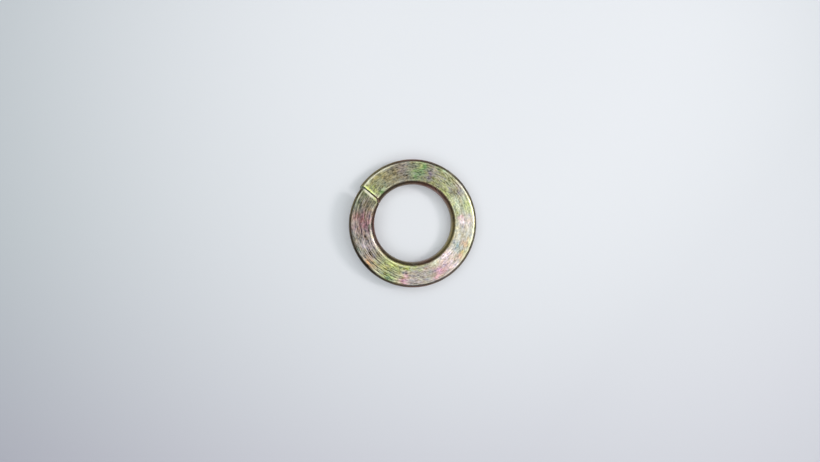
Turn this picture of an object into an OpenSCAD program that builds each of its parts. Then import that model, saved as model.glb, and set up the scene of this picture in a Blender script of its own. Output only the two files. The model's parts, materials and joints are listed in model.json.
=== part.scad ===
// Spring lock washer: one turn of keystone wire, coiled left-handed and sheared through once.
// Millimetres. The bore axis is +Z, the slit faces -Y, and the lowest edge touches z = 0.
// Seen from above, the wire leaves its low end clockwise and climbs all the way to its raised end,
// which has sprung slightly inwards. The bore is round all the way.

/* [Ring] */
// Bore diameter, which passes over an M12 bolt
bore_d = 12.4; // [11:0.1:16]
// Radial width of the wire, from the bore to the outer wall
wire_w = 4; // [3:0.1:6]
// Thickness of the wire at the middle of its width
wire_t = 2.5; // [1.8:0.05:3.5]
// How much thicker the wire is at the bore than at the outer wall, from being coiled
keystone = 0.14; // [0:0.01:0.3]

/* [Spring] */
// Height that the raised end stands above the low end
end_rise = 1.75; // [0.5:0.05:3]
// How far the raised end springs inwards from the round outer wall
end_tuck = 0.24; // [0.1:0.01:0.3]

/* [Slit] */
// Width of the slit seen from above, between its two parallel faces
slit_w = 0.18; // [0.1:0.02:0.8]
// Lean of the slit from upright: the raised end overhangs the low end
slit_lean = 20; // [0:1:35]
// How far the slit's upper line passes beside the bore axis, towards the low end's side
slit_skew = -0.65; // [-1:0.05:1]

/* [Edges] */
// Radius of the two long edges along the bore
inner_edge_r = 0.9; // [0.4:0.05:1.1]
// Radius of the two long edges along the outer wall
outer_edge_r = 0.65; // [0.4:0.05:0.9]

/* [Sheared ends] */
// How far back from each end face the shear bent the wire's edges
shear_run = 0.5; // [0.3:0.05:0.8]
// How far the edges drop at the end face where the shear drew them in: the low end's lower edge, the raised end's upper one
roll_over = 0.15; // [0.05:0.05:0.25]
// How far the other two edges stand out at the end face
burr = 0.07; // [0.01:0.01:0.12]
// How far the raised end's face is drawn back from the bore at its inner corner
drawn_corner = 0.35; // [0.1:0.05:0.5]

/* [Hidden] */

turn = 360;
slit_angle = 270;    // direction that the slit faces, counterclockwise from +X
stations = 120;      // sections along one full turn
edge_steps = 5;      // facets in a quarter round of a long edge
end_steps = 4;       // facets along a bent end edge
bend_power = 1.15;   // how sharply the roll-over grows towards the face
burr_power = 2;      // how sharply the burr does so
tuck_arc = 45;       // degrees before the raised end where the wire starts to leave the round
tuck_power = 1.5;    // how softly it starts to do so
wall_lap = 0.05;     // how far the swept wire passes the two round walls that trim it
wall_fn = 240;       // smoothness of those walls
past = 1;            // how far the trimming cylinders run past the wire

bore_r = bore_d / 2;
outer_r = bore_r + wire_w;
mid_r = bore_r + wire_w / 2;
height = wire_t + keystone + end_rise;
edge_turn = 90 / edge_steps;
end_reach = slit_w / 2 + shear_run;  // from the middle of the slit to the full section

// Half the thickness of the wire at radius r.
function half_t(r) = (wire_t + keystone * (mid_r - r) / wire_w) / 2;

// Radius of a long edge, held so that some of the wall stays straight on a thin wire.
function edge_r(side) =
    side < 0 ? min(inner_edge_r, 0.9 * half_t(bore_r)) : min(outer_edge_r, 0.9 * half_t(outer_r));

// How far a section has gone along the raised end's inward bend: 0 on the round and 1 at the end.
function tucked(share) = pow(max(0, 1 - (1 - share) * turn / tuck_arc), tuck_power);

// One long edge of the section: side is -1 at the bore and 1 outside, level is -1 below and 1 above,
// inset shrinks it where the shear drew it in or swells it where the shear pushed it out, and lap is
// how far it passes the wall. It runs from the round wall to the flat.
function long_edge(side, level, inset, lap) =
    let (
        full_r = edge_r(side),
        cx = side < 0 ? bore_r + full_r : outer_r - full_r,
        cz = level * (half_t(cx) - full_r),
        r = full_r - inset,
        run = lap / tan(edge_turn / 2)  // height taken by the last facet past its tangent point
    )
    [
        for (k = [0 : edge_steps])
            k == 0
                ? [cx + side * (r + lap), cz - level * run]
                : [cx + side * r * cos(k * edge_turn), cz + level * r * sin(k * edge_turn)]
    ];

function reversed(list) = [for (k = [len(list) - 1 : -1 : 0]) list[k]];

// The wire's section as [radius, height] points, counterclockwise from the bore's lower edge.
// upper and lower are the insets of its upper and lower edges.
function wire_section(upper, lower, lap) = concat(
    long_edge(-1, -1, lower, lap),
    reversed(long_edge(1, -1, lower, lap)),
    long_edge(1, 1, upper, lap),
    reversed(long_edge(-1, 1, upper, lap))
);

// How far the raised end narrows at the bore, as a share of its most, from its face to the full section.
function narrowed(share, from_slit) =
    share < 1 ? 0 : pow(max(0, 1 - (-from_slit - slit_w / 2) / shear_run), bend_power);

// A section point placed a share of the turn along the coil, plus a straight distance measured
// from the middle of the slit. The slit's lean and skew shift every section alike.
function coil_point(p, share, from_slit) =
    let (
        to_bore = (outer_r - p[0]) / wire_w,
        r = p[0] - end_tuck * tucked(share) + drawn_corner * narrowed(share, from_slit) * to_bore,
        aside = from_slit + slit_skew + (p[1] - wire_t / 2) * tan(slit_lean),
        travel = share * turn + asin(aside / r),
        angle = slit_angle - travel
    )
    [r * cos(angle), r * sin(angle), p[1] + end_rise * travel / turn];

// The bent edges of an end, from its face to the full section. Side is 1 at the low end, which the
// shear pushed down, and -1 at the raised one. Each station is
// [share of the turn, distance from the middle of the slit, upper inset, lower inset].
function end_stations(share, side) = [
    for (k = [0 : end_steps])
        let (
            near = 1 - k / end_steps,
            drawn = roll_over * pow(near, bend_power),
            pushed = -burr * pow(near, burr_power),
            place = side * (slit_w / 2 + shear_run * k / end_steps)
        )
        side > 0 ? [share, place, pushed, drawn] : [share, place, drawn, pushed]
];

// Every section from the low end to the raised one, with the turn between shared out evenly.
function coil_stations() = concat(
    end_stations(0, 1),
    [for (k = [1 : stations - 1]) [k / stations, end_reach * (1 - 2 * k / stations), 0, 0]],
    reversed(end_stations(1, -1))
);

module swept_wire() {
    rings = [
        for (s = coil_stations())
            let (lap = s[2] == 0 ? wall_lap * (1 - tucked(s[0])) : 0)
            [for (p = wire_section(s[2], s[3], lap)) coil_point(p, s[0], s[1])]
    ];
    count = len(rings[0]);
    last = len(rings) - 1;
    points = [for (ring = rings) each ring];
    lowest = min([for (p = points) p[2]]);
    skin = [
        for (i = [0 : last - 1], j = [0 : count - 1])
            let (a = i * count + j, b = i * count + (j + 1) % count)
            each [[a, a + count, b + count], [a, b + count, b]]
    ];
    low_face = [for (j = [1 : count - 2]) [0, j, j + 1]];
    raised_face = [for (j = [1 : count - 2]) [last * count, last * count + j + 1, last * count + j]];
    translate([0, 0, -lowest])
        polyhedron(points = points, faces = concat(skin, low_face, raised_face));
}

module lock_washer() {
    color("darkkhaki")
        difference() {
            intersection() {
                swept_wire();
                translate([0, 0, -past])
                    cylinder(r = outer_r, h = height + 2 * past, $fn = wall_fn);
            }
            translate([0, 0, -2 * past])
                cylinder(r = bore_r, h = height + 4 * past, $fn = wall_fn);
        }
}

lock_washer();
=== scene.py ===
"""Spring lock washer with a rubbed yellow chromate finish, lying on a pale floor under soft studio light.

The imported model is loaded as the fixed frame. One smooth washer stands for its one node, and carries the
finish. Everything is in metres in the row frame, where the bore axis is +Z and the slit faces -Y.
"""

import json
import math

import bpy
import numpy as np
from mathutils import Matrix, Vector


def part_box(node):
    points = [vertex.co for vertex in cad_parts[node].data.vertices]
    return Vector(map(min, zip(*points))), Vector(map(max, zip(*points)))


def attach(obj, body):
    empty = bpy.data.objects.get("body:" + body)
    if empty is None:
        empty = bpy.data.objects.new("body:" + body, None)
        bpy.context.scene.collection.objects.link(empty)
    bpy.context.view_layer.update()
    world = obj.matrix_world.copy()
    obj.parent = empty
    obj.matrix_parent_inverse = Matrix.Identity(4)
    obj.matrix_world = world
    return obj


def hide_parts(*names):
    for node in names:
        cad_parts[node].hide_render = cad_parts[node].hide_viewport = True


bl_info = {
    "name": "Plated Spring Lock Washer",
    "version": (1, 0, 0),
    "blender": (4, 5, 0),
    "location": "View3D > Sidebar > Washer",
    "description": "Makes a plated spring lock washer and the stage that it lies on",
    "category": "Add Mesh",
}

NODE = "lock_washer"
MM = 0.001
SLIT_ANGLE = 270.0    # direction that the slit faces, in degrees counterclockwise from +X
ROOM_TURN = 130.0     # degrees from the view's right to +X, so that directions read as seen by the camera

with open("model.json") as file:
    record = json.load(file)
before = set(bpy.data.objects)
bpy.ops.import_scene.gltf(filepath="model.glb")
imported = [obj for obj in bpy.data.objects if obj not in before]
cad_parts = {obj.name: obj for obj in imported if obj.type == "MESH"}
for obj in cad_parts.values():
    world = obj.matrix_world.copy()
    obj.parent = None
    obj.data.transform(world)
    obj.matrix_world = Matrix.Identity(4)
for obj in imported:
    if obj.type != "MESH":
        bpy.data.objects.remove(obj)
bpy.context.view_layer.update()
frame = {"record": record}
outer_radius = (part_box(NODE)[1].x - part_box(NODE)[0].x) / 2
bore_radius = frame["record"]["mounts"][0]["dims"]["r_mm"] * MM


def tint(red, green, blue):
    """Scene-linear colour of an everyday 0 to 255 one: each channel goes through the sRGB curve."""
    channels = [c / 255 for c in (red, green, blue)]
    return [c / 12.92 if c <= 0.04045 else ((c + 0.055) / 1.055) ** 2.4 for c in channels]


def opaque(rgb):
    """The same colour with a full alpha, as shader sockets take it."""
    return (*rgb, 1.0)


def toward(azimuth, elevation=0):
    """Unit vector in the row frame of a direction as seen by the camera.

    Its azimuth is in degrees, 0 to the right and 90 up the view, and its elevation is above the floor."""
    a, e = math.radians(azimuth + ROOM_TURN), math.radians(elevation)
    return Vector((math.cos(a) * math.cos(e), math.sin(a) * math.cos(e), math.sin(e)))


# -------- sizes and looks

def length_prop(name, description, default, low=0.0):
    """A size that shows as a distance in the sidebar; default and low are in metres."""
    return bpy.props.FloatProperty(
        name=name, description=description, default=default, min=low, precision=5,
        unit="LENGTH", subtype="DISTANCE",
    )


def angle_prop(name, description, degrees):
    """An angle in the sidebar, with its default in degrees."""
    return bpy.props.FloatProperty(
        name=name, description=description, default=math.radians(degrees), subtype="ANGLE"
    )


def power_prop(name, description, default):
    """The power of a lamp in the sidebar, in watts."""
    return bpy.props.FloatProperty(name=name, description=description, default=default, unit="POWER")


def number_prop(name, description, default, low=0.0, high=1.0):
    """A plain number in the sidebar."""
    return bpy.props.FloatProperty(name=name, description=description, default=default, min=low, max=high)


def colour_prop(name, description, rgb):
    """A colour swatch in the sidebar; rgb is an everyday 0 to 255 colour."""
    return bpy.props.FloatVectorProperty(
        name=name, description=description, default=tint(*rgb), min=0.0, max=1.0, size=3, subtype="COLOR"
    )


class WireSizes(bpy.types.PropertyGroup):
    """Sizes of the coiled wire."""

    bore: length_prop("Bore radius", "Radius of the hole", bore_radius)
    outside: length_prop("Outer radius", "Radius of the outer wall", outer_radius)
    thickness: length_prop("Thickness", "Thickness of the wire at the middle of its width", 2.5 * MM)
    keystone: length_prop("Keystone", "How much thicker the wire is at the bore than outside", 0.14 * MM)
    rise: length_prop("End rise", "Height of the raised end above the low one", 1.75 * MM)
    tuck: length_prop("End tuck", "How far the raised end springs inwards from the round wall", 0.24 * MM)
    tuck_arc: angle_prop("Tuck arc", "Turn over which it does so", 45)
    slit: length_prop("Slit width", "Gap between the two sheared ends", 0.18 * MM)
    lean: angle_prop("Slit lean", "Lean of the slit from upright", 20)
    skew: length_prop("Slit skew", "How far its upper line passes beside the bore axis", -0.65 * MM, -1 * MM)
    inner_edge: length_prop("Inner edge", "Radius of the long edges along the bore", 0.9 * MM)
    outer_edge: length_prop("Outer edge", "Radius of the long edges along the outer wall", 0.65 * MM)
    shear_run: length_prop("Shear run", "How far back from each end the shear bent its edges", 0.5 * MM)
    roll_drop: length_prop("Roll-over", "Drop of the drawn-in edges at the end face", 0.15 * MM)
    burr: length_prop("Burr", "Height of the pushed-out edges at the end face", 0.07 * MM)
    drawn: length_prop("Drawn corner", "How far the raised end's face is drawn back from the bore", 0.35 * MM)


class PlatingLook(bpy.types.PropertyGroup):
    """Colours and wear of the chromate film."""

    plain: colour_prop("Plain", "Pale gold-grey film", (156, 150, 136))
    olive: colour_prop("Olive", "Olive film", (146, 146, 112))
    moss: colour_prop("Moss", "Olive-green film", (138, 144, 92))
    umber: colour_prop("Umber", "Brownish film", (138, 129, 106))
    sage: colour_prop("Sage", "Grey-green film", (140, 148, 126))
    green: colour_prop("Green", "Strong green film", (110, 144, 92))
    cream: colour_prop("Cream", "Pale yellowish film", (192, 188, 166))
    blush: colour_prop("Blush", "Pale rosy film", (196, 177, 179))
    pearl: colour_prop("Pearl", "Pale grey film", (166, 163, 154))
    mint: colour_prop("Mint", "Pale green film", (146, 178, 148))
    lime: colour_prop("Lime", "Yellow-green film", (168, 176, 106))
    straw: colour_prop("Straw", "Straw-coloured film", (178, 162, 104))
    peach: colour_prop("Peach", "Orange film", (196, 152, 120))
    pink: colour_prop("Pink", "Rose film", (190, 142, 158))
    rose: colour_prop("Dusky rose", "Dark rose film", (152, 112, 120))
    mauve: colour_prop("Mauve", "Purple-grey film", (150, 136, 144))
    sky: colour_prop("Sky", "Pale blue film", (140, 172, 180))
    bare: colour_prop("Bare", "Metal where the film is rubbed away", (216, 211, 191))
    # The walls' tint is partly the film's own darker tone, partly painted shade for the dark reflections of
    # walls and rounded edges.
    wall: colour_prop("Walls", "Darker film on the bore and the outer wall", (112, 98, 80))
    bronze: colour_prop("Bronze", "Yellow-brown film on a wall", (146, 134, 90))
    copper: colour_prop("Copper", "Red-brown film on a wall", (128, 88, 80))
    # The darkest wall tint below is painted shade on the outer wall where it faces the shadowed side.
    wall_shade: colour_prop("Soot", "Darkest film on a wall", (66, 58, 48))
    # The end faces' dark tints below are partly painted shade of the narrow slit.
    sheared_in_and_slit_shade: colour_prop("Sheared faces, inner", "Film on the end faces towards the bore", (146, 94, 58))
    sheared_out_and_slit_shade: colour_prop("Sheared faces, outer", "The same towards the outer wall", (106, 114, 80))
    brushing: number_prop("Brushing", "Contrast of the fine marks along the wire", 1.0)
    roughness: number_prop("Roughness", "Roughness of the rubbed faces", 0.34)


class StageLook(bpy.types.PropertyGroup):
    """Floor, lamps and camera."""

    floor: colour_prop("Floor", "Colour of the floor at its palest", (230, 232, 237))
    # The two floor tints below are painted shade: the floor greys towards them away from a painted pool of
    # light.
    far_floor_shade: colour_prop("Far floor", "Colour of the floor away from its palest place", (148, 159, 165))
    low_floor_shade: colour_prop("Low floor", "The same towards the bottom of the view", (152, 149, 166))
    key_power: power_prop("Main lamp", "Power of the main lamp", 0.4)
    fill_power: power_prop("Side lamp", "Power of the side lamp", 0.05)
    distance: length_prop("Camera distance", "From the camera to the washer", 102.0 * MM)
    lens: number_prop("Lens", "Focal length in millimetres", 28.0, 1.0, 200.0)
    view_lean: angle_prop("View lean", "Angle between the view and the bore axis", 5.2)


# -------- the wire

ARC_STEPS, FLAT_STEPS, WALL_STEPS = 12, 22, 8    # faces round a long edge, across a flat and up a wall
COIL_STEPS = 780     # faces along the coil
END_STEPS = 16       # faces along an end's bent edges
CAP_STEPS = 14       # faces from the middle of an end face to its outline
TUCK_POWER = 1.5     # how softly the raised end starts to spring inwards
ROLL_POWER, BURR_POWER = 1.15, 2    # how sharply an end's roll-over and burr grow towards its face


def half_thickness(sizes, radius):
    """Half the wire's thickness at a radius: it falls evenly from the bore to the outer wall."""
    middle, width = (sizes.bore + sizes.outside) / 2, sizes.outside - sizes.bore
    return (sizes.thickness + sizes.keystone * (middle - radius) / width) / 2


def long_edge(sizes, side, level, inset):
    """Quarter circle between a wall and a flat, from the wall to the flat.

    side is -1 at the bore and 1 outside, level is -1 below and 1 above. The centre stays where it is
    while inset shrinks the radius, so the outline shrinks evenly."""
    full = sizes.inner_edge if side < 0 else sizes.outer_edge
    centre_r = sizes.bore + full if side < 0 else sizes.outside - full
    centre_z = level * (half_thickness(sizes, centre_r) - full)
    radius = full - inset
    angle = np.linspace(0.0, math.pi / 2, ARC_STEPS + 1)
    return np.stack([centre_r + side * radius * np.cos(angle), centre_z + level * radius * np.sin(angle)], 1)


def bridge(start, end, steps):
    """Evenly spaced points strictly between two points."""
    part = np.linspace(0.0, 1.0, steps + 1)[1:-1, None]
    return start + (end - start) * part


def wire_outline(sizes, upper=0.0, lower=0.0):
    """The section as radius and height, counterclockwise from the bore's lower edge round to the bore wall.

    upper and lower are the insets of its upper and lower edges. Nothing passes the two round walls."""
    bore_low = long_edge(sizes, -1, -1, lower)
    outer_low = long_edge(sizes, 1, -1, lower)[::-1]
    outer_high = long_edge(sizes, 1, 1, upper)
    bore_high = long_edge(sizes, -1, 1, upper)[::-1]
    outline = np.concatenate([
        bore_low, bridge(bore_low[-1], outer_low[0], FLAT_STEPS),
        outer_low, bridge(outer_low[-1], outer_high[0], WALL_STEPS),
        outer_high, bridge(outer_high[-1], bore_high[0], FLAT_STEPS),
        bore_high, bridge(bore_high[-1], bore_low[0], WALL_STEPS),
    ])
    outline[:, 0] = np.clip(outline[:, 0], sizes.bore, sizes.outside)
    return outline


def end_sections(sizes, part, side):
    """Sections across an end face and along its bent edges, from the middle of the face to the full section.

    side is 1 at the low end and -1 at the raised one. The shear pushed the low end down, so that its
    upper edge has the burr and its lower one the roll-over, and the raised end has them the other way
    round. The roll-over grows almost evenly towards the face and the burr with the square. Each section
    is (share of the turn, distance from the middle of the slit, upper inset, lower inset, scale)."""
    edge = []
    for k in np.linspace(0.0, 1.0, END_STEPS + 1):
        insets = (-sizes.burr * (1 - k) ** BURR_POWER, sizes.roll_drop * (1 - k) ** ROLL_POWER)
        edge.append((part, side * (sizes.slit / 2 + sizes.shear_run * k), *insets[::side], 1.0))
    face = [(*edge[0][:4], k / CAP_STEPS) for k in range(1, CAP_STEPS)]
    return face + edge


def coil_sections(sizes):
    """All sections from the low end to the raised one. The slit's room is shared out along the turn."""
    reach = sizes.slit / 2 + sizes.shear_run
    shares = [k / COIL_STEPS for k in range(1, COIL_STEPS)]
    turn = [(part, reach * (1 - 2 * part), 0.0, 0.0, 1.0) for part in shares]
    return np.array(end_sections(sizes, 0.0, 1) + turn + end_sections(sizes, 1.0, -1)[::-1])


def on_coil(sizes, radius, height, part, from_slit):
    """Places section points on the coil and returns their places and how far round they are, in turns.

    A point goes clockwise from the slit's direction by its share of the turn, and by the angle whose
    sine is its sideways distance from the bore axis over its radius, where the slit's lean adds to the
    distance with height. Height grows with the turn. Before the raised end the radius shrinks with a
    power of the way gone, the face there is drawn back at the bore, and nothing enters the bore."""
    gone = np.clip(1 - (1 - part) * 2 * math.pi / sizes.tuck_arc, 0, 1) ** TUCK_POWER
    near = np.clip(1 - (-from_slit - sizes.slit / 2) / sizes.shear_run, 0, 1) ** ROLL_POWER * (part == 1.0)
    to_bore = (sizes.outside - radius) / (sizes.outside - sizes.bore)
    radius = np.maximum(radius - sizes.tuck * gone + sizes.drawn * near * to_bore, sizes.bore)
    aside = from_slit + sizes.skew + (height - sizes.thickness / 2) * math.tan(sizes.lean)
    turns = part + np.arcsin(aside / radius) / (2 * math.pi)
    angle = math.radians(SLIT_ANGLE) - turns * 2 * math.pi
    place = np.stack([radius * np.cos(angle), radius * np.sin(angle), height + sizes.rise * turns], -1)
    return place, turns


def coil_surface(sizes):
    """The whole wire as a grid of section by outline point, with a pole in the middle of each end face."""
    sections = coil_sections(sizes)
    part, from_slit, _, _, scale = sections.T[..., None]
    outlines = np.stack([wire_outline(sizes, upper, lower) for upper, lower in sections[:, 2:4]])
    middle = wire_outline(sizes).mean(0)
    outlines = middle + (outlines - middle) * scale[..., None]
    place, turns = on_coil(sizes, outlines[..., 0], outlines[..., 1], part, from_slit)
    ends, faces = np.array([0.0, 1.0]), np.array([1.0, -1.0]) * sizes.slit / 2
    poles, _ = on_coil(sizes, np.full(2, middle[0]), np.full(2, middle[1]), ends, faces)
    lowest = place[..., 2].min()
    place[..., 2] -= lowest
    poles[:, 2] -= lowest
    return place, turns, poles, sections


class Skin:
    """Where each point of the wire's surface lies and faces, on a grid of section by outline point.

    along and around are its distances along the wire and round the section. degrees counts from the
    low end. across is -1 at the bore and 1 outside. top is 1 on the upper face and falls to 0 at the
    walls. sideways is the share of the surface's normal that points at a wall. scale is below 1 on an
    end face, and bent grows to 1 where the shear bent the edges."""

    def __init__(self, sizes, turns, sections):
        outline = wire_outline(sizes)
        middle_radius, half_width = (sizes.bore + sizes.outside) / 2, (sizes.outside - sizes.bore) / 2
        step = np.linalg.norm(np.roll(outline, -1, axis=0) - outline, axis=1)
        slope = np.roll(outline, -1, axis=0) - np.roll(outline, 1, axis=0)
        normal = np.stack([slope[:, 1], -slope[:, 0]], -1)
        normal /= np.linalg.norm(normal, axis=1)[:, None]
        part, _, upper, lower, self.scale = sections.T[..., None]
        self.shape = turns.shape
        self.rounds = np.concatenate([[0.0], np.cumsum(step)])    # around, and once more where it closes
        self.along = turns * 2 * math.pi * middle_radius
        self.around = np.broadcast_to(self.rounds[:-1], self.shape)
        self.degrees = turns * 360
        self.across = np.broadcast_to((outline[:, 0] - middle_radius) / half_width, self.shape)
        self.top = np.broadcast_to(np.clip(normal[:, 1] * 2, 0, 1), self.shape)
        self.faces_up = normal[:, 1] > 0
        self.sideways = np.abs(normal[:, 0])
        self.bore_side = normal[:, 0] < 0
        self.low_end = part < 0.5
        self.bent = np.maximum(np.abs(upper), np.abs(lower)) / sizes.roll_drop

    def noise(self, cell, seed):
        """Smooth noise on the surface, for a cell's length along the wire and round it."""
        return lattice_noise(self.along, self.around, *cell, seed)


# -------- marks in the film

# Stains on the upper face, each laid over the ones before it: tint, how light it is beside its plain
# tint, degrees round from the low end, place across the face from -1 at the bore to 1 outside, half
# length in degrees, half width as a share of half the face, and strength. A half width of 3 covers all.
# Three of these stains are painted light, as noted where they stand.
STAINS = [
    ("olive", 1.08, 6, 0.0, 14, 3.0, 0.7), ("umber", 1.0, 30, 0.0, 14, 3.0, 0.8),
    ("moss", 0.95, 76, 0.0, 16, 3.0, 0.7), ("moss", 1.25, 97, -0.3, 9, 3.0, 0.65),
    ("sage", 1.35, 116, -0.2, 12, 3.0, 0.7), ("pearl", 1.15, 150, 0.0, 20, 3.0, 0.8),
    ("blush", 0.95, 188, -0.3, 13, 3.0, 0.8), ("mauve", 0.9, 217, 0.0, 11, 3.0, 0.7),
    ("moss", 1.5, 260, 0.2, 16, 3.0, 0.6), ("mauve", 1.12, 294, 0.0, 13, 3.0, 0.7),
    ("rose", 1.2, 318, -0.2, 14, 3.0, 0.6), ("umber", 0.92, 340, 0.0, 10, 3.0, 0.7),
    ("moss", 0.95, 354, 0.0, 6, 3.0, 0.6), ("sage", 1.35, 8, -0.7, 7, 0.4, 0.7),
    ("lime", 1.15, 1, 0.3, 3, 1.0, 0.55), ("green", 0.8, 3, -0.7, 3, 0.3, 0.9),
    ("straw", 0.9, 9, 0.6, 4, 0.3, 0.6), ("straw", 0.9, 17, 0.5, 4, 0.25, 0.5),
    ("straw", 0.85, 24, 0.0, 5, 0.3, 0.3), ("pearl", 0.85, 36, -0.7, 6, 0.4, 0.5),
    ("mauve", 0.75, 38, 0.2, 5, 0.5, 0.5), ("sage", 0.7, 46, 0.0, 3, 1.5, 0.5),
    ("green", 0.95, 54, -0.2, 5, 0.7, 0.8), ("green", 1.0, 60, 0.4, 4, 0.6, 0.8),
    ("lime", 0.8, 56, 0.7, 4, 0.3, 0.5), ("mauve", 0.8, 69, 0.2, 4, 0.7, 0.8),
    ("mint", 1.0, 80, 0.7, 2, 0.15, 0.7), ("lime", 0.95, 96, -0.8, 10, 0.35, 0.8),
    ("mauve", 0.7, 98, 0.0, 5, 0.4, 0.6), ("mauve", 1.35, 103, 0.6, 6, 0.4, 0.6),
    ("cream", 1.1, 114, -0.7, 8, 0.5, 0.7), ("lime", 1.3, 124, 0.5, 6, 0.35, 0.7),
    ("lime", 1.35, 140, 0.85, 28, 0.2, 0.7), ("blush", 1.2, 137, 0.0, 7, 0.5, 0.7),
    ("pink", 1.0, 132, -0.2, 2, 0.2, 0.6), ("sage", 1.1, 127, 0.1, 4, 0.5, 0.4),
    ("lime", 1.4, 120, -0.7, 12, 0.3, 0.5), ("cream", 1.25, 148, -0.8, 26, 0.3, 0.7),
    ("cream", 1.1, 150, 0.7, 12, 0.3, 0.5), ("peach", 0.95, 160, 0.4, 4, 0.3, 0.6),
    ("sky", 1.0, 168, -0.1, 4, 0.3, 0.6), ("straw", 1.0, 171, 0.5, 3, 0.25, 0.6),
    ("peach", 0.95, 175, 0.4, 3, 0.4, 0.6), ("pearl", 1.3, 174, -0.5, 6, 0.5, 0.6),
    ("blush", 1.3, 186, -0.8, 8, 0.5, 0.7), ("pink", 0.95, 194, 0.3, 4, 0.4, 0.4),
    ("pink", 1.05, 202, 0.3, 6, 0.5, 0.8), ("cream", 1.3, 200, -0.7, 8, 0.4, 0.7),
    ("sage", 1.15, 216, -0.7, 7, 0.3, 0.8), ("pink", 0.8, 213, -0.3, 3, 0.2, 0.5),
    ("sage", 0.95, 213, 0.3, 5, 0.4, 0.5), ("lime", 0.85, 234, -0.75, 17, 0.45, 1.1),
    ("mauve", 0.9, 229, 0.3, 4, 0.5, 0.5), ("pink", 0.9, 238, 0.5, 5, 0.45, 0.9),
    ("green", 1.3, 254, 0.6, 5, 0.3, 0.4), ("lime", 0.85, 258, -0.6, 10, 0.4, 0.5),
    ("straw", 0.95, 262, 0.1, 5, 0.25, 0.5), ("cream", 0.95, 266, 0.7, 5, 0.3, 0.5),
    ("moss", 0.6, 270, -0.9, 8, 0.35, 0.7), ("peach", 1.0, 279, 0.6, 7, 0.45, 0.6),
    ("lime", 0.95, 276, 0.1, 3, 0.25, 0.5), ("umber", 0.75, 284, -0.7, 9, 0.4, 0.6),
    ("mint", 0.8, 293, 0.75, 2, 0.15, 0.5), ("pearl", 1.1, 308, 0.75, 18, 0.4, 0.6),
    ("rose", 0.85, 323, -0.1, 11, 0.55, 0.9), ("sage", 0.8, 338, 0.6, 7, 0.5, 0.6),
    ("moss", 0.3, 350, 0.8, 5, 0.25, 1.3), ("moss", 0.75, 351, -0.6, 5, 0.4, 0.7),
    # The cream stain at 10 degrees near the outer edge is a painted highlight.
    ("green", 0.45, 343, 0.75, 5, 0.2, 0.7), ("cream", 1.35, 10, 0.8, 14, 0.15, 0.8),
    # These two stains darken the bore's edge near 290 to 320 degrees: painted shade that dims the main lamp's
    # glint there.
    ("pearl", 0.36, 311, -0.77, 20, 0.17, 1.8), ("cream", 0.6, 288, -0.76, 12, 0.14, 1.2),
]

# Stains on the two walls, partly painted light and shade: they lighten the outer wall on the lamp's side
# and darken it most where it faces the shadow. Columns: tint, how light it is, degrees round from the low
# end, side (-1 for the bore and 1 for the outer wall), half length in degrees, and strength.
WALL_STAINS_AND_SHADE = [
    ("copper", 1.0, 84, -1, 34, 0.9), ("bronze", 1.15, 162, -1, 34, 0.95),
    ("copper", 1.1, 212, -1, 10, 0.6), ("bronze", 0.85, 250, -1, 22, 0.5),
    ("copper", 1.15, 312, -1, 26, 0.8), ("bronze", 0.9, 10, 1, 26, 0.8), ("copper", 1.1, 52, 1, 15, 0.7),
    ("copper", 0.95, 226, 1, 16, 0.7), ("wall_shade", 1.0, 280, 1, 30, 1.0), ("bronze", 0.9, 338, 1, 10, 0.7),
]

# Places round the coil that show more of something than the rest, or less: degrees round from the low
# end, half length in degrees, and how much more.
BRUSHED = [(86, 12, 0.4), (150, 20, -0.12), (252, 15, 0.7), (290, 22, 1.1), (325, 14, 0.7), (345, 10, 0.4)]
MOTTLED = [(142, 30, -0.4), (204, 24, -0.35), (292, 40, -0.3)]
HATCHED = [(86, 9, 1.0), (222, 12, 1.0)]
# Rubbing and painted highlights on the upper long edges.
BORE_WEAR_AND_HIGHLIGHT_MARKS = [(262, 36, 0.7), (294, 16, 0.3)]
OUTER_WEAR_AND_HIGHLIGHT_MARKS = [(6, 26, 1.15), (100, 24, 0.7), (140, 34, 0.7), (180, 24, 0.7), (346, 8, 1.2)]
# How much further round the bore's edge the walls' darker film starts, so that a dim stain takes the main
# lamp's glint there as painted shade, and how much sooner it starts outside, a painted shade that thickens
# the dark rim on the shadowed side.
BORE_GLINT_DIMMING = [(306, 26, 0.25)]
SHADED_OUTSIDE = [(284, 27, 0.24)]

# How far sideways the surface faces, from 0 on a flat to 1 on a wall, where the walls' film starts, and
# how much further that film takes to cover it. It starts on the rounded edges, where its darkness is painted
# shade for their dark reflections.
BORE_WALL_START, OUTER_WALL_START, WALL_FADE = 0.24, 0.4, 0.28
# The same where the bore's edges and the outer ones are rubbed most and carry the painted highlight, half its
# width, and where it ends.
BORE_CREST, OUTER_CREST, CREST_SPREAD, CREST_END = 0.13, 0.24, 0.15, 0.03
# Least rubbing and painted highlight on the upper edges, rubbing on the lower ones, and rubbing on each end's
# bent rim, on the raised one with a painted highlight of its bright strip.
BORE_WEAR_AND_HIGHLIGHT, OUTER_WEAR_AND_HIGHLIGHT, LOWER_WEAR = 0.12, 0.1, 0.6
LOW_RIM_WEAR, RAISED_RIM_WEAR_AND_HIGHLIGHT = 0.15, 1.7
# Places across the face of the yellow-green film on the rims: where it starts and is full on the low
# end, and its middle and half width on the raised one.
LOW_LIME, RAISED_LIME, LIME_SPREAD = (-0.35, -0.05), -0.42, 0.2
LIME_HIGHLIGHT_LIGHTNESS, LIME_SHARE, LIME_SPARED = 1.75, 0.8, 1.3    # its lightness, lifted partly as a painted highlight of the strips, its strength, and how much less rubbing it leaves on the raised rim
# Places across an end face over which its film changes, and over which its outer corner turns pale.
FACE_CHANGE, FACE_CORNER = (-0.3, 0.0), (0.84, 0.92)
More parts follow.
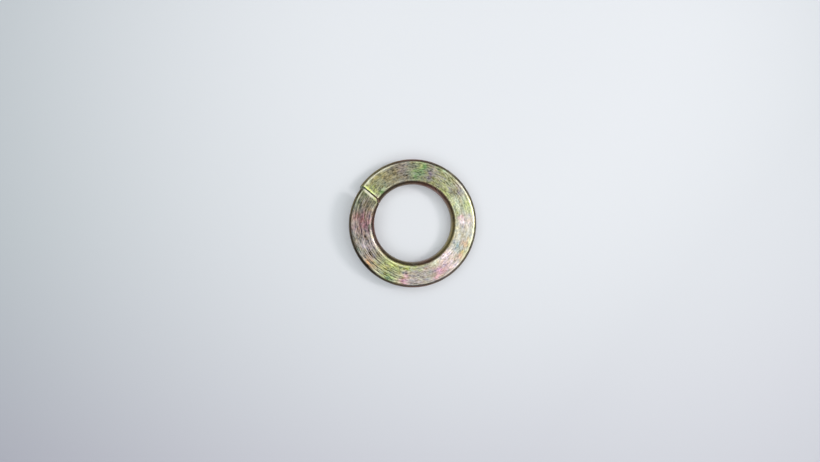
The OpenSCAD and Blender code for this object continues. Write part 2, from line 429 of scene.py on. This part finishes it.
# Brushing and mottling on the upper face, before what shows more there, and elsewhere.
UPPER_BRUSHING, LOWER_BRUSHING, UPPER_MOTTLING, LOWER_MOTTLING = 0.3, 0.6, 1.0, 0.7
WALL_LOSS, RIM_LOSS = 0.5, 0.6    # how much of them the walls lose, and of mottling the rims

# Noises in the film: length of a cell along the wire and round it, and strength.
DRIFT_CELL, DRIFT = (3.4 * MM, 1.4 * MM), 0.8    # share that the plain tint drifts to its neighbours
SWAY_CELL, SWAY = (1.1 * MM, 0.5 * MM), 2.6    # degrees that stains' outlines sway along the wire
SPREAD_CELL, SPREAD = (0.9 * MM, 0.6 * MM), 0.22    # the same across it, as a share of half the face
BREAK_CELL, BREAK = (0.7 * MM, 0.26 * MM), 0.7    # how far a stain is broken up
PATCH_CELL, PATCH = (1.5 * MM, 0.5 * MM), 0.3    # how far the rubbing and painted highlight paling is patchy


def bells(degrees, marks):
    """Sum of bell-shaped marks round the coil."""
    return sum(amount * np.exp(-((degrees - at) / half_length) ** 2) for at, half_length, amount in marks)


def fade(value, start, end):
    """Rises evenly from 0 at start to 1 at end and stays there."""
    return np.clip((value - start) / (end - start), 0, 1)


def lay_over(film, colour, weight):
    """Moves the film's tint towards a colour by a weight from 0 to 1 at each point."""
    return film + (colour - film) * weight[..., None]


def lattice_noise(u, v, cell_u, cell_v, seed):
    """Smooth noise from -1 to 1: random values on a lattice of cells, joined by an S-shaped blend."""
    a, b = u / cell_u, v / cell_v
    a, b = a - a.min(), b - b.min()
    ia, ib = np.floor(a).astype(int), np.floor(b).astype(int)
    values = np.random.default_rng(seed).uniform(-1, 1, (ia.max() + 2, ib.max() + 2))
    fa, fb = a - ia, b - ib
    fa, fb = fa * fa * (3 - 2 * fa), fb * fb * (3 - 2 * fb)
    near = values[ia, ib] * (1 - fb) + values[ia, ib + 1] * fb
    far = values[ia + 1, ib] * (1 - fb) + values[ia + 1, ib + 1] * fb
    return near * (1 - fa) + far * fa


def film_colour(look, name, lightness=1.0):
    """One of the film's colours, lighter or darker by a factor."""
    return np.array(getattr(look, name)) * lightness


def upper_film(look, skin):
    """Tint of the film on the flats.

    It starts from the plain tint with slow drifts to its neighbours. Each stain is then laid over the
    upper face with a bell-shaped weight, whose outline is bent and broken up by noise."""
    film = np.broadcast_to(film_colour(look, "plain"), skin.shape + (3,))
    for seed, name in ((11, "olive"), (12, "umber"), (13, "mauve")):
        film = lay_over(film, film_colour(look, name), np.clip(DRIFT * skin.noise(DRIFT_CELL, seed), 0, 1))
    degrees = skin.degrees + SWAY * skin.noise(SWAY_CELL, 14)
    place = skin.across + SPREAD * skin.noise(SPREAD_CELL, 15)
    for seed, (name, lightness, at, where, half_length, half_width, force) in enumerate(STAINS, 100):
        bell = np.exp(-((degrees - at) / half_length) ** 2 - ((place - where) / half_width) ** 2)
        broken = 1.0 + BREAK * skin.noise(BREAK_CELL, seed)
        weight = np.clip(skin.top * force * bell * broken, 0, 1)
        film = lay_over(film, film_colour(look, name, lightness), weight)
    return film


def wall_film_and_shade(look, skin):
    """Tint of the darker film on the two walls, with bell-shaped stains on each.

    Its darkness is partly the film's own tone and partly painted shade, and the stains partly paint
    the walls lighter or darker by how the light falls.
    """
    film = np.broadcast_to(film_colour(look, "wall"), skin.shape + (3,))
    for name, lightness, at, side, half_length, force in WALL_STAINS_AND_SHADE:
        weight = bells(skin.degrees, [(at, half_length, force)]) * (skin.across * side > 0)
        film = lay_over(film, film_colour(look, name, lightness), weight)
    return film


def end_face_film_and_shade(look, skin):
    """Tint of the end faces: it changes near the middle, and turns pale at their outer corners.

    Its dark tints are partly painted shade of the narrow slit.
    """
    on_face = skin.across * skin.scale
    outward = fade(on_face, *FACE_CHANGE)[..., None]
    film = film_colour(look, "sheared_in_and_slit_shade") * (1 - outward) + film_colour(look, "sheared_out_and_slit_shade") * outward
    return lay_over(film, film_colour(look, "sage", 1.3), fade(on_face, *FACE_CORNER))


def wall_and_rim_shade_share(skin):
    """0 where the flats' film lies and 1 where the walls' does, with a fade round the long edges.

    On those edges the darker film is painted shade for their dark reflections.
    """
    bore_start = BORE_WALL_START + bells(skin.degrees, BORE_GLINT_DIMMING)
    outer_start = OUTER_WALL_START - bells(skin.degrees, SHADED_OUTSIDE)
    start = np.where(skin.bore_side, bore_start, outer_start)
    return fade(skin.sideways, start, start + WALL_FADE)


def bent_rim(skin, wall):
    """Share of the bent rim at each end, which fades at the walls, and of the yellow-green film on it.

    That film covers the low end's rim from near its middle outwards. On the raised end it is one
    bell-shaped mark towards the bore. It is laid lightened, partly as a painted highlight of the bright
    strips along the slit."""
    rim = np.clip(1.6 * skin.bent, 0, 1) * np.clip(1.4 * (1 - wall), 0, 1)
    outer_part = fade(skin.across, *LOW_LIME)
    bore_mark = np.exp(-((skin.across - RAISED_LIME) / LIME_SPREAD) ** 2)
    return rim, rim * np.where(skin.low_end, outer_part, bore_mark) * skin.top


def wear_and_highlight_share(skin, rim, lime):
    """How far the film is paled to bare metal, partly by rubbing and partly as a painted highlight: in
    patches along the long edges and on the raised end's rim.

    An edge's paling is bell-shaped round its crest, where the highlights fall. On that rim the yellow-green
    film is spared."""
    crest = np.where(skin.bore_side, BORE_CREST, OUTER_CREST)
    edge = np.exp(-((skin.sideways - crest) / CREST_SPREAD) ** 2) * (skin.sideways > CREST_END)
    bore_wear_and_highlight = BORE_WEAR_AND_HIGHLIGHT + bells(skin.degrees, BORE_WEAR_AND_HIGHLIGHT_MARKS)
    outer_wear_and_highlight = OUTER_WEAR_AND_HIGHLIGHT + bells(skin.degrees, OUTER_WEAR_AND_HIGHLIGHT_MARKS)
    edge_wear_and_highlight = edge * np.where(skin.faces_up, np.where(skin.bore_side, bore_wear_and_highlight, outer_wear_and_highlight), LOWER_WEAR)
    rim_wear_and_highlight = rim * np.where(skin.low_end, LOW_RIM_WEAR, RAISED_RIM_WEAR_AND_HIGHLIGHT - LIME_SPARED * lime)
    return np.maximum(edge_wear_and_highlight, rim_wear_and_highlight) * (1 - PATCH + PATCH * skin.noise(PATCH_CELL, 16))


def lay_marks(mesh, look, skin):
    """Stores what the finish needs at each point: the film's tint, and how much it shows of each mark.

    The tint holds painted shade on the walls, the rims and the end faces, and painted highlights on some
    edges and rims. The paling of the film is partly a painted highlight.
    """
    wall = wall_and_rim_shade_share(skin)
    rim, lime = bent_rim(skin, wall)
    on_end_face = skin.scale < 1.0
    # The walls' darker film, partly painted shade, goes over the flats' film.
    film = lay_over(upper_film(look, skin), wall_film_and_shade(look, skin), wall)
    # The rims' yellow-green film is laid lightened, partly a painted highlight.
    film = lay_over(film, film_colour(look, "lime", LIME_HIGHLIGHT_LIGHTNESS), LIME_SHARE * lime)
    # End faces take their own tints, partly painted shade of the slit.
    store_colour(mesh, "film", np.where(on_end_face[..., None], end_face_film_and_shade(look, skin), film))
    on_wall = 1 - WALL_LOSS * wall
    brushing = np.where(skin.top > 0, UPPER_BRUSHING + bells(skin.degrees, BRUSHED), LOWER_BRUSHING)
    mottling = np.where(skin.top > 0, UPPER_MOTTLING + bells(skin.degrees, MOTTLED), LOWER_MOTTLING)
    # Paling of the film by rubbing, partly painted highlights on the edges and the raised rim.
    store_share(mesh, "wear_and_highlight", wear_and_highlight_share(skin, rim, lime))
    store_share(mesh, "cut", np.broadcast_to(on_end_face, skin.shape).astype(float))
    store_share(mesh, "hatch", skin.top * bells(skin.degrees, HATCHED))
    store_share(mesh, "brushed", brushing * on_wall)
    store_share(mesh, "mottled", mottling * on_wall * (1 - RIM_LOSS * rim))


# -------- mesh making

def store_colour(mesh, name, film):
    """Stores a tint on the points of the grid, and on each pole the mean of the section round it."""
    layer = mesh.attributes.new(name, "FLOAT_COLOR", "POINT")
    colours = np.concatenate([film.reshape(-1, 3), [film[0].mean(0), film[-1].mean(0)]])
    colours = np.column_stack([colours, np.ones(len(colours))])
    layer.data.foreach_set("color", colours.astype(np.float32).ravel())


def store_share(mesh, name, values):
    """Stores one number in the same way."""
    layer = mesh.attributes.new(name, "FLOAT", "POINT")
    poles = [values[0].mean(), values[-1].mean()]
    layer.data.foreach_set("value", np.concatenate([values.ravel(), poles]).astype(np.float32))


def lay_coil_map(mesh, skin):
    """Lays the UV map named coil, in millimetres: U runs along the wire and V round its section.

    In its fan's triangles a pole lies half-way between the other two corners."""
    u, v = skin.along / MM, skin.rounds / MM
    here = np.stack([u, np.broadcast_to(v[:-1], u.shape)], -1)
    onward = np.stack([np.roll(u, -1, axis=1), np.broadcast_to(v[1:], u.shape)], -1)
    middle = (here + onward) / 2
    quads = np.stack([here[:-1], onward[:-1], onward[1:], here[1:]], 2)
    low_fan = np.stack([middle[0], onward[0], here[0]], 1)
    high_fan = np.stack([middle[-1], here[-1], onward[-1]], 1)
    corners = np.concatenate([faces.reshape(-1, 2) for faces in (quads, low_fan, high_fan)])
    mesh.uv_layers.new(name="coil").uv.foreach_set("vector", corners.astype(np.float32).ravel())


def ring_quads(rings, points):
    """Numbers of a grid's points, of the next point round from each, and quads between its closed rings."""
    index = np.arange(rings * points).reshape(rings, points)
    onward = np.roll(index, -1, axis=1)
    quads = np.stack([index[:-1], onward[:-1], onward[1:], index[1:]], -1).reshape(-1, 4)
    return index, onward, quads.tolist()


def pole_fan(pole, first, second):
    """Triangles that join a pole to each pair of neighbouring points."""
    return np.stack([np.full(len(first), pole), first, second], -1).tolist()


def wire_mesh(sizes, look):
    """Builds the closed mesh: quads between neighbouring sections and a fan of triangles at each pole."""
    place, turns, poles, sections = coil_surface(sizes)
    index, onward, quads = ring_quads(*turns.shape)
    low_fan = pole_fan(index.size, onward[0], index[0])
    high_fan = pole_fan(index.size + 1, index[-1], onward[-1])
    mesh = bpy.data.meshes.new("plated_washer")
    mesh.from_pydata(np.concatenate([place.reshape(-1, 3), poles]), [], quads + low_fan + high_fan)
    mesh.polygons.foreach_set("use_smooth", np.ones(len(mesh.polygons), bool))
    skin = Skin(sizes, turns, sections)
    lay_coil_map(mesh, skin)
    lay_marks(mesh, look, skin)
    return mesh


# -------- materials

class Nodes:
    """Short way to write a node tree. Values may be numbers, colours or other nodes' outputs."""

    def __init__(self, tree):
        self.tree = tree
        tree.nodes.clear()

    def put(self, socket, value):
        """Links an output to the socket or sets the socket's own value."""
        if isinstance(value, bpy.types.NodeSocket):
            self.tree.links.new(value, socket)
        else:
            socket.default_value = value

    def add(self, kind, inputs=None, **settings):
        """Makes a node, fills its inputs and returns it."""
        node = self.tree.nodes.new(kind)
        for key, value in settings.items():
            setattr(node, key, value)
        for key, value in (inputs or {}).items():
            self.put(node.inputs[key], value)
        return node

    def math(self, operation, first, second):
        """Sum, difference or product of two numbers; operation is Blender's name of it."""
        return self.add("ShaderNodeMath", {0: first, 1: second}, operation=operation).outputs[0]

    def plus(self, first, second):
        return self.math("ADD", first, second)

    def minus(self, first, second):
        return self.math("SUBTRACT", first, second)

    def times(self, first, second):
        return self.math("MULTIPLY", first, second)

    def mix(self, factor, a, b, blend="MIX"):
        """Mixes two colours; blend is Blender's name of the way."""
        node = self.add("ShaderNodeMix", data_type="RGBA", blend_type=blend, clamp_factor=True)
        for number, value in ((0, factor), (6, a), (7, b)):
            self.put(node.inputs[number], value)
        return node.outputs[2]

    def shaded(self, colour, red, green, blue):
        """A colour with each channel multiplied by a number."""
        shade = self.add("ShaderNodeCombineColor", {0: red, 1: green, 2: blue}).outputs[0]
        return self.mix(1.0, colour, shade, "MULTIPLY")

    def spread(self, value, low, high, to_low=0.0, to_high=1.0, kind="LINEAR"):
        """Maps low..high to to_low..to_high and holds it there; kind is LINEAR or the softer SMOOTHSTEP."""
        inputs = {0: value, 1: low, 2: high, 3: to_low, 4: to_high}
        return self.add("ShaderNodeMapRange", inputs, clamp=True, interpolation_type=kind).outputs[0]

    def centred(self, noise, amount):
        """Noise turned into a swing of plus or minus half the amount."""
        return self.times(self.minus(noise, 0.5), amount)

    def mark(self, name, output="Fac"):
        """What is stored on the mesh's points under a name."""
        return self.add("ShaderNodeAttribute", attribute_name=name).outputs[output]

    def reach(self, place, azimuth):
        """How far a place or direction reaches in a level direction as seen by the camera."""
        inputs = {0: place, 1: toward(azimuth)}
        return self.add("ShaderNodeVectorMath", inputs, operation="DOT_PRODUCT").outputs["Value"]

    def noise(self, vector, scale, turn=0.0, detail=2.0, seed=0.0, flat=True):
        """Noise on a map stretched by scale, after a turn in degrees; seed moves it elsewhere."""
        turned = self.add("ShaderNodeMapping", {
            "Vector": vector, "Rotation": (0.0, 0.0, math.radians(turn)), "Location": (seed, seed * 1.7, 0.0),
        })
        stretched = self.add("ShaderNodeMapping", {"Vector": turned.outputs[0], "Scale": (*scale, 1.0)[:3]})
        inputs = {"Vector": stretched.outputs[0], "Scale": 1.0, "Detail": detail, "Roughness": 0.55}
        return self.add("ShaderNodeTexNoise", inputs, noise_dimensions="2D" if flat else "3D").outputs[0]


PLAIN_SHADE = 0.99                    # shade of the film between its marks
SPECK_SHADE = -0.25                   # what dark scores and specks add to it
BLUE_LOSS = 2.1                       # what warmth takes from blue, beside what it adds to red
SCRATCH_DEPTH = 0.6                   # how far a slanting scratch shows bare metal
MARK_DEPTH = 0.02 * MM                # relief of the fine marks
DRAG_SCALE = (9000.0, 9000.0, 900.0)  # cells per metre of the end faces' streaks, in X, Y and Z

# The floor's painted light: a pool of light and its falloff painted into the floor's colour. Sides are
# directions in degrees as seen by the camera: 0 is right and 90 is up.
PAINTED_POOL_SIDE, PAINTED_POOL_REACH = 62, 36    # side of the painted pool of light, and how far off in millimetres
PAINTED_FALLOFF_SPAN = (22 * MM, 146 * MM)       # distance from there over which the painted shade grows
LESS_FALLOFF_CORNER, LESS_FALLOFF_SHARE = -42, 0.16  # where the painted shade is weaker, and how much weaker
LESS_FALLOFF_SPAN = (40 * MM, 76 * MM)       # how far that way the difference starts and is full
LOW_SHADE_SIDE = -80                        # where the painted shade's lower tint lies
LOW_SHADE_SPAN = (-10 * MM, 35 * MM)        # how far that way the tint starts and is full
LOW_SHADE_FADE = (120 * MM, 70 * MM)        # distance from the washer where it has gone and is still full
BACKDROP_SPAN = (78 * MM, 200 * MM)   # distance over which the floor turns into the backdrop
MATT_SHARE, GLOW_SHARE = 0.81, 0.2    # how much of its colour the floor reflects and gives off
HORIZON = (154, 161, 168)             # colour in which the floor and the room meet


def marked_film(n, coil, look, brush, fine, mottle):
    """Tint of the film with its marks.

    The tint is multiplied by a shade: almost 1, plus lines and fine dark scores along the wire, where it
    is brushed, plus blotches, grain and dark specks, where it is mottled. Warmth adds to the shade of
    red and takes about twice as much from blue. Slanting scratches show bare metal."""
    blotch = n.noise(coil, (0.9, 1.9), seed=11.0)
    grain = n.noise(coil, (2.6, 5.6), seed=23.0)
    drift = n.noise(coil, (0.6, 1.3), detail=1.0, seed=71.0)
    slant = n.noise(coil, (0.5, 9.0), turn=-24.0, detail=1.0, seed=83.0)
    score = n.noise(coil, (0.2, 6.0), turn=-1.0, detail=1.0, seed=97.0)
    speckle = n.noise(coil, (0.8, 3.4), seed=121.0)

    lines = n.plus(n.centred(brush, 2.4), n.centred(fine, 1.8))
    scores = n.times(n.spread(score, 0.52, 0.4), SPECK_SHADE)
    streaks = n.times(n.plus(lines, scores), n.times(n.mark("brushed"), look.brushing))
    spots = n.plus(n.centred(blotch, 1.4), n.centred(grain, 2.0))
    spots = n.plus(spots, n.times(n.spread(speckle, 0.54, 0.72), SPECK_SHADE))
    shade = n.plus(n.plus(PLAIN_SHADE, streaks), n.times(spots, n.mark("mottled")))
    warmth = n.plus(n.centred(mottle, 0.24), n.centred(drift, 0.14))
    blue = n.minus(shade, n.times(warmth, BLUE_LOSS))
    marked = n.shaded(n.mark("film", "Color"), n.plus(shade, warmth), shade, blue)

    scratch = n.times(n.spread(slant, 0.6, 0.68), n.mark("hatch"))
    return n.mix(n.times(scratch, SCRATCH_DEPTH), marked, opaque(look.bare))


def dragged_film(n):
    """Tint of the film on the end faces, in streaks that run down them as the shear dragged the metal."""
    body = n.add("ShaderNodeTexCoord").outputs["Object"]
    streak = n.spread(n.noise(body, DRAG_SCALE, flat=False), 0.3, 0.7, 0.8, 1.25)
    return n.shaded(n.mark("film", "Color"), streak, streak, streak)


def plating_material(look):
    """Zinc under a chromate film: tints by film thickness, brushed along the wire, paled on edges by rubbing
    and painted highlights.

    Those paled places show bare metal, in step with the fine lines. The lines are also a slight relief, and
    the roughness swings with the blotches of warmth."""
    material = bpy.data.materials.new("yellow_chromate")
    material.use_nodes = True
    n = Nodes(material.node_tree)
    coil = n.add("ShaderNodeUVMap", uv_map="coil").outputs[0]
    brush = n.noise(coil, (0.36, 5.0))
    fine = n.noise(coil, (0.8, 13.0), seed=31.0)
    mottle = n.noise(coil, (1.6, 2.6), detail=4.0, seed=57.0)

    marked = marked_film(n, coil, look, brush, fine, mottle)
    # The share below pales the film to bare metal by rubbing and painted highlights.
    rubbed = n.times(n.mark("wear_and_highlight"), n.spread(fine, 0.3, 0.7, 0.45, 0.95))
    worn_and_highlit = n.mix(rubbed, marked, opaque(look.bare))
    relief = n.plus(n.times(brush, 0.6), n.times(fine, 0.4))
    bump = n.add("ShaderNodeBump", {"Strength": 0.35, "Distance": MARK_DEPTH, "Height": relief})
    shader = n.add("ShaderNodeBsdfPrincipled", {
        "Base Color": n.mix(n.mark("cut"), worn_and_highlit, dragged_film(n)), "Metallic": 1.0,
        "Roughness": n.plus(look.roughness, n.centred(mottle, 0.3)), "Normal": bump.outputs[0],
    })
    n.add("ShaderNodeOutputMaterial", {"Surface": shader.outputs[0]})
    return material


def floor_material(stage):
    """Plain matt sheet that also glows a little, painted light that keeps it and its shadows pale, and fades
    into an even backdrop.

    A painted pool of light: it greys softly away from its palest place, less so towards one corner of the
    view.
    Low in the view this painted shade has another tint, but not far off, where other views would show it."""
    material = bpy.data.materials.new("pale_floor")
    material.use_nodes = True
    n = Nodes(material.node_tree)
    place = n.add("ShaderNodeTexCoord").outputs["Object"]
    away = n.add("ShaderNodeVectorMath", {0: place}, operation="LENGTH").outputs["Value"]
    # Painted light: the floor's colour greys away from the middle of a pool of light painted into it.
    palest = toward(PAINTED_POOL_SIDE) * PAINTED_POOL_REACH * MM
    aside = n.add("ShaderNodeVectorMath", {0: place, 1: palest}, operation="DISTANCE").outputs["Value"]
    less_falloff = n.spread(n.reach(place, LESS_FALLOFF_CORNER), *LESS_FALLOFF_SPAN, 0.0, LESS_FALLOFF_SHARE)
    grey = n.minus(n.spread(aside, *PAINTED_FALLOFF_SPAN, kind="SMOOTHSTEP"), less_falloff)
    low = n.times(n.spread(n.reach(place, LOW_SHADE_SIDE), *LOW_SHADE_SPAN), n.spread(away, *LOW_SHADE_FADE))
    painted_shade_tint = n.mix(low, opaque(stage.far_floor_shade), opaque(stage.low_floor_shade))
    plain = n.mix(grey, opaque(stage.floor), painted_shade_tint)
    matt = n.add("ShaderNodeBsdfPrincipled", {
        "Base Color": n.mix(1.0, plain, opaque([MATT_SHARE] * 3), "MULTIPLY"), "Roughness": 0.7,
        "Specular IOR Level": 0.1, "Emission Color": plain, "Emission Strength": GLOW_SHARE,
    })
    backdrop = n.add("ShaderNodeEmission", {"Color": opaque(tint(*HORIZON)), "Strength": 1.0})
    far = n.spread(away, *BACKDROP_SPAN, kind="SMOOTHSTEP")
    both = n.add("ShaderNodeMixShader", {0: far, 1: matt.outputs[0], 2: backdrop.outputs[0]})
    n.add("ShaderNodeOutputMaterial", {"Surface": both.outputs[0]})
    return material


# -------- stage

FLOOR_RINGS, FLOOR_SPOKES = 24, 96    # rings of the floor and points in each
FLOOR_REACH = 1.3                     # radius of the outermost ring in metres

# Tints of the room by height, which is 0 at the horizon and 1 overhead.
ROOM_TINTS = (
    (0.0, (72, 72, 74)), (0.5, (60, 60, 62)), (0.68, (108, 109, 112)), (0.83, (249, 254, 252)),
    (1.0, (247, 252, 250)),
)
HAZE_HEIGHTS = (0.12, 0.42)           # heights over which the haze gives way to those tints
CEILING_HEIGHTS = (0.945, 0.985)      # heights over which they give way to the ceiling
WALL_LIGHT = 1.9                      # strength of their light
LIT_SIDE, LIT_SHARE = 20, 0.4         # side where it is stronger, and how much
CEILING_SIDE = -15                    # side where the ceiling brightens
CEILING_SPAN = (0.0, 0.26)            # lean of a direction that way where it starts to, and where it has
CEILING_DIM, CEILING_BRIGHT = 0.38, 1.85    # strength of its light

LAMP_TOP = Vector((0.3, 0.2, 1.0))    # direction that the lamps' top edges turn to
VIEW_SIDE = 160                       # side of the bore axis that the camera stands on
VIEW_RIGHT, VIEW_UP = 0.44, 1.25      # millimetres from the middle of the view to the washer's


def look_from(place, target, up):
    """Matrix of a camera or lamp at place that looks at target with up upwards."""
    back = (place - target).normalized()
    right = up.cross(back).normalized()
    turn = Matrix((right, back.cross(right), back)).transposed().to_4x4()
    return Matrix.Translation(place) @ turn


def rest_plane(sizes, places):
    """Plane that the washer rests on: its normal and its distance along it.

    The wire lies on its low end and on the far side of the turn, so with rise p and middle radius r
    the plane climbs p / (4 r) along Y and p / (2 pi r) along X."""
    middle_radius = (sizes.bore + sizes.outside) / 2
    normal = np.array([-sizes.rise / (2 * math.pi * middle_radius), -sizes.rise / (4 * middle_radius), 1.0])
    normal /= np.linalg.norm(normal)
    return normal, (places @ normal).min()


def floor_mesh(sizes, places):
    """Disc on the rest plane, as a grid of clockwise rings closed by one point in the middle.

    The radius of a ring grows with the square of its number."""
    normal, offset = rest_plane(sizes, places)
    radius = FLOOR_REACH * (np.arange(1, FLOOR_RINGS + 1) / FLOOR_RINGS)[:, None] ** 2
    angle = np.linspace(0, -2 * math.pi, FLOOR_SPOKES, endpoint=False)[None, :]
    x, y = radius * np.cos(angle), radius * np.sin(angle)
    z = (offset - normal[0] * x - normal[1] * y) / normal[2]
    points = np.concatenate([np.stack([x, y, z], -1).reshape(-1, 3), [[0.0, 0.0, offset / normal[2]]]])
    index, onward, quads = ring_quads(FLOOR_RINGS, FLOOR_SPOKES)
    mesh = bpy.data.meshes.new("floor")
    mesh.from_pydata(points, [], quads + pole_fan(index.size, onward[0], index[0]))
    return mesh


def add_lamp(name, azimuth, elevation, distance, size, power, rgb):
    """Square soft lamp that faces the washer from a direction as seen by the camera."""
    lamp = bpy.data.lights.new(name, "AREA")
    lamp.shape, lamp.size = "SQUARE", size
    lamp.energy, lamp.color = power, tint(*rgb)
    holder = bpy.data.objects.new(name, lamp)
    place = toward(azimuth, elevation) * distance
    holder.matrix_world = look_from(place, Vector((0, 0, 0)), LAMP_TOP)
    bpy.context.scene.collection.objects.link(holder)


def add_world():
    """Room light by height: pale haze at the horizon, dark above it, then a bright ring and a ceiling.

    The ceiling is dim, and brightens towards the side that the washer's pale half mirrors."""
    world = bpy.data.worlds.new("studio_room")
    bpy.context.scene.world = world
    world.use_nodes = True
    n = Nodes(world.node_tree)
    direction = n.add("ShaderNodeTexCoord").outputs["Generated"]
    height = n.add("ShaderNodeSeparateXYZ", {0: direction}).outputs[2]
    ramp = n.add("ShaderNodeValToRGB", {0: height})
    stops = ramp.color_ramp.elements
    for position, _ in ROOM_TINTS[1:-1]:
        stops.new(position)
    for stop, (position, rgb) in zip(stops, ROOM_TINTS):
        stop.position, stop.color = position, opaque(tint(*rgb))
    wall_light = n.plus(WALL_LIGHT, n.times(n.reach(direction, LIT_SIDE), LIT_SHARE))
    walls = n.add("ShaderNodeBackground", {"Color": ramp.outputs[0], "Strength": wall_light})
    ceiling_light = n.spread(
        n.reach(direction, CEILING_SIDE), *CEILING_SPAN, CEILING_DIM, CEILING_BRIGHT, kind="SMOOTHSTEP"
    )
    ceiling_tint = opaque(tint(*ROOM_TINTS[-1][1]))
    ceiling = n.add("ShaderNodeBackground", {"Color": ceiling_tint, "Strength": ceiling_light})
    haze = n.add("ShaderNodeBackground", {"Color": opaque(tint(*HORIZON)), "Strength": 1.0})
    low = n.add("ShaderNodeMixShader", {
        0: n.spread(height, *HAZE_HEIGHTS), 1: haze.outputs[0], 2: walls.outputs[0],
    })
    both = n.add("ShaderNodeMixShader", {
        0: n.spread(height, *CEILING_HEIGHTS), 1: low.outputs[0], 2: ceiling.outputs[0],
    })
    n.add("ShaderNodeOutputWorld", {"Surface": both.outputs[0]})


def add_camera(stage, sizes):
    """Camera over the washer, which sits a little above and to the right of the middle of the view."""
    centre = Vector((0.0, 0.0, (sizes.thickness + sizes.rise) / 2))
    target = centre - toward(0) * VIEW_RIGHT * MM - toward(90) * VIEW_UP * MM
    direction = toward(VIEW_SIDE, 90 - math.degrees(stage.view_lean))
    camera = bpy.data.cameras.new("camera")
    camera.lens, camera.sensor_width = stage.lens, 36.0
    camera.clip_start, camera.clip_end = 0.005, 10.0
    holder = bpy.data.objects.new("camera", camera)
    holder.matrix_world = look_from(target + direction * stage.distance, target, toward(90))
    bpy.context.scene.collection.objects.link(holder)
    bpy.context.scene.camera = holder


# -------- operators

class WASHER_OT_plated_washer(bpy.types.Operator):
    """Make the coiled washer with its film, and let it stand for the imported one"""

    bl_idname = "washer.plated_washer"
    bl_label = "Plated Washer"

    def execute(self, context):
        scene = context.scene
        mesh = wire_mesh(scene.washer_sizes, scene.washer_plating)
        mesh.materials.append(plating_material(scene.washer_plating))
        washer = bpy.data.objects.new("plated_washer", mesh)
        scene.collection.objects.link(washer)
        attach(washer, "root")
        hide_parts(NODE)
        return {"FINISHED"}


class WASHER_OT_stage(bpy.types.Operator):
    """Make the floor that the washer rests on, the lamps, the room light and the camera"""

    bl_idname = "washer.stage"
    bl_label = "Stage"

    def execute(self, context):
        scene = context.scene
        sizes, stage = scene.washer_sizes, scene.washer_stage
        washer = bpy.data.objects["plated_washer"].data
        places = np.empty(len(washer.vertices) * 3, np.float32)
        washer.vertices.foreach_get("co", places)
        mesh = floor_mesh(sizes, places.reshape(-1, 3).astype(float))
        mesh.materials.append(floor_material(stage))
        floor = bpy.data.objects.new("floor", mesh)
        scene.collection.objects.link(floor)
        add_lamp(
            "main_lamp", azimuth=8, elevation=50, distance=0.4, size=0.09,
            power=stage.key_power, rgb=(255, 246, 245),
        )
        add_lamp(
            "side_lamp", azimuth=130, elevation=50, distance=0.45, size=0.2,
            power=stage.fill_power, rgb=(240, 246, 255),
        )
        add_world()
        add_camera(stage, sizes)
        scene.view_settings.view_transform = "Standard"
        return {"FINISHED"}


class WASHER_PT_panel(bpy.types.Panel):
    """Sizes, finish and stage of the washer"""

    bl_label = "Spring Lock Washer"
    bl_space_type = "VIEW_3D"
    bl_region_type = "UI"
    bl_category = "Washer"

    def draw(self, context):
        scene = context.scene
        makers = (
            (WASHER_OT_plated_washer, (scene.washer_sizes, scene.washer_plating)),
            (WASHER_OT_stage, (scene.washer_stage,)),
        )
        for operator, settings in makers:
            self.layout.operator(operator.bl_idname)
            for group in settings:
                for name in group.__annotations__:
                    self.layout.prop(group, name)


SETTINGS = {"washer_sizes": WireSizes, "washer_plating": PlatingLook, "washer_stage": StageLook}
CLASSES = (*SETTINGS.values(), WASHER_OT_plated_washer, WASHER_OT_stage, WASHER_PT_panel)


def register():
    for cls in CLASSES:
        bpy.utils.register_class(cls)
    for name, group in SETTINGS.items():
        setattr(bpy.types.Scene, name, bpy.props.PointerProperty(type=group))


def unregister():
    for name in SETTINGS:
        delattr(bpy.types.Scene, name)
    for cls in reversed(CLASSES):
        bpy.utils.unregister_class(cls)


def main():
    register()
    bpy.ops.washer.plated_washer()
    bpy.ops.washer.stage()


if __name__ == "__main__":
    main()
